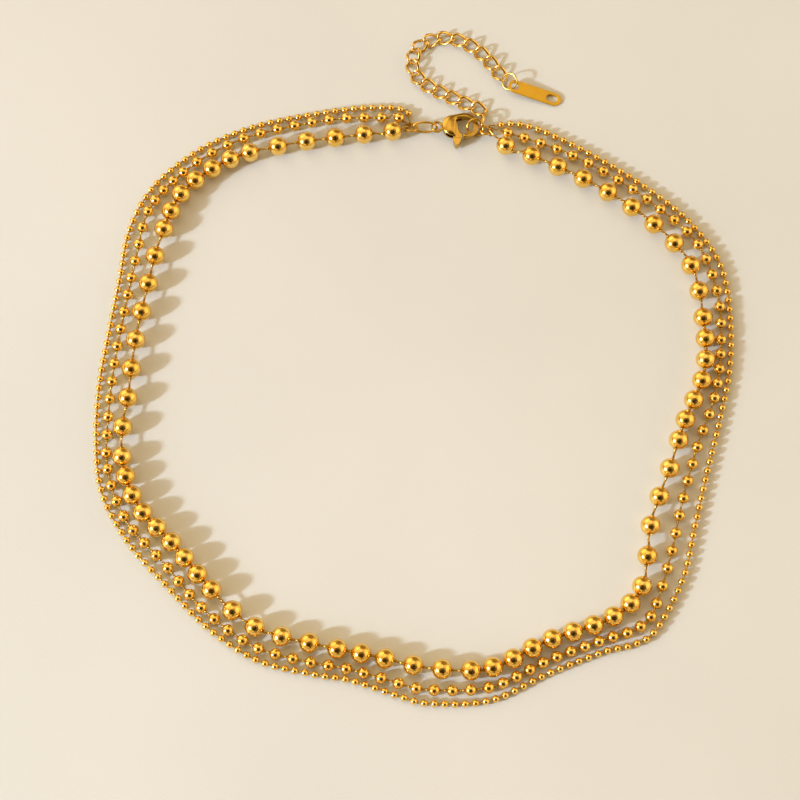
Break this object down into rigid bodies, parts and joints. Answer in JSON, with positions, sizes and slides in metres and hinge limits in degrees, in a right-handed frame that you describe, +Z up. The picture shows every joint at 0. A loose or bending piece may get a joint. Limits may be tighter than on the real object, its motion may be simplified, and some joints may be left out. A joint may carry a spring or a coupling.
{
  "type": "three-strand ball chain necklace",
  "caption": "Three nested strands of round beads in three sizes, gathered on end rings at a lobster clasp, with a short curb-link extender and a slotted bar tag.",
  "frame": {"origin": "on the surface it lies on, under the middle of its outline", "axes": "+Z up from the surface, +Y from the front of the loop to the clasp, +X to the right seen from above"},
  "size_m": [0.1335, 0.1519, 0.0041],
  "materials": {
    "bead_gold": "polished gold-coloured plating",
    "wire_gold": "drawn wire, gold-coloured plating",
    "ring_gold": "polished gold-coloured plating",
    "clasp_gold": "polished gold-coloured plating",
    "link_gold": "polished gold-coloured plating",
    "tag_gold": "satin gold-coloured plating"
  },
  "bodies": {
    "necklace": {"large_beads": "bead_gold", "large_thread": "wire_gold", "medium_beads": "bead_gold", "medium_thread": "wire_gold", "small_strand_left": "bead_gold", "small_strand_right": "bead_gold", "left_end_ring": "ring_gold", "clasp_ring": "ring_gold", "clasp_body": "clasp_gold", "hook_ring": "ring_gold", "right_end_ring": "ring_gold", "extender_joint": "link_gold", "extender_link_01": "link_gold", "extender_link_02": "link_gold", "extender_link_03": "link_gold", "extender_link_04": "link_gold", "extender_link_05": "link_gold", "extender_link_06": "link_gold", "extender_link_07": "link_gold", "extender_link_08": "link_gold", "extender_link_09": "link_gold", "extender_link_10": "link_gold", "extender_link_11": "link_gold", "extender_link_12": "link_gold", "extender_link_13": "link_gold", "extender_link_14": "link_gold", "extender_link_15": "link_gold", "extender_link_16": "link_gold", "tag_ring": "ring_gold", "tag": "tag_gold"},
    "lever": {"clasp_lever": "clasp_gold"}
  },
  "joints": [
    {"name": "lever_turn", "type": "hinge", "parent": "necklace", "child": "lever", "pos_m": [0.0083, 0.0538, 0.00145], "axis": [0, 0, -1], "range_deg": [0, 20], "stiffness_Nm_per_rad": 0.005, "springref_deg": -17.19}
  ]
}
